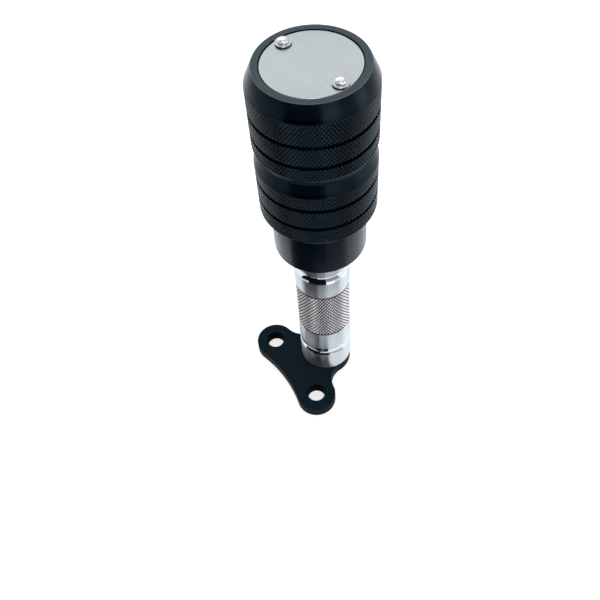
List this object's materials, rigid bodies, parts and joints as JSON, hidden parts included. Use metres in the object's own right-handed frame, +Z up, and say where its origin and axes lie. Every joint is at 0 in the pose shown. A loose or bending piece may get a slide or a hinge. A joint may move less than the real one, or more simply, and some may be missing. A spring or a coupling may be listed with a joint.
{
  "type": "motorcycle frame slider",
  "caption": "Motorcycle frame slider: a black flat bracket, a turned aluminium stem with a knurled grip band, and a black knurled plastic puck with a riveted metal end plate.",
  "frame": {"origin": "on the bracket's flat underside, midway between its two bolt holes", "axes": "+Z up along the stem towards the puck's end plate; the two bolt holes lie along X; +Y from the bolt holes towards the stem"},
  "size_m": [0.0608, 0.0552, 0.1989],
  "materials": {
    "bracket_black": "satin",
    "stem_aluminium": "turned, bright",
    "puck_plastic": "turned, satin",
    "cap_brushed": "brushed",
    "rivet_bright": "polished",
    "zinc_steel": "zinc plated"
  },
  "bodies": {
    "root": {"bracket": "bracket_black", "bracket_screw": "zinc_steel", "stem": "stem_aluminium", "puck": "puck_plastic", "puck_sleeve": "zinc_steel", "puck_washer": "zinc_steel", "spring_washer": "zinc_steel", "puck_bolt": "zinc_steel", "cap_plate": "cap_brushed", "cap_rivet_left": "rivet_bright", "cap_rivet_right": "rivet_bright"}
  },
  "joints": []
}
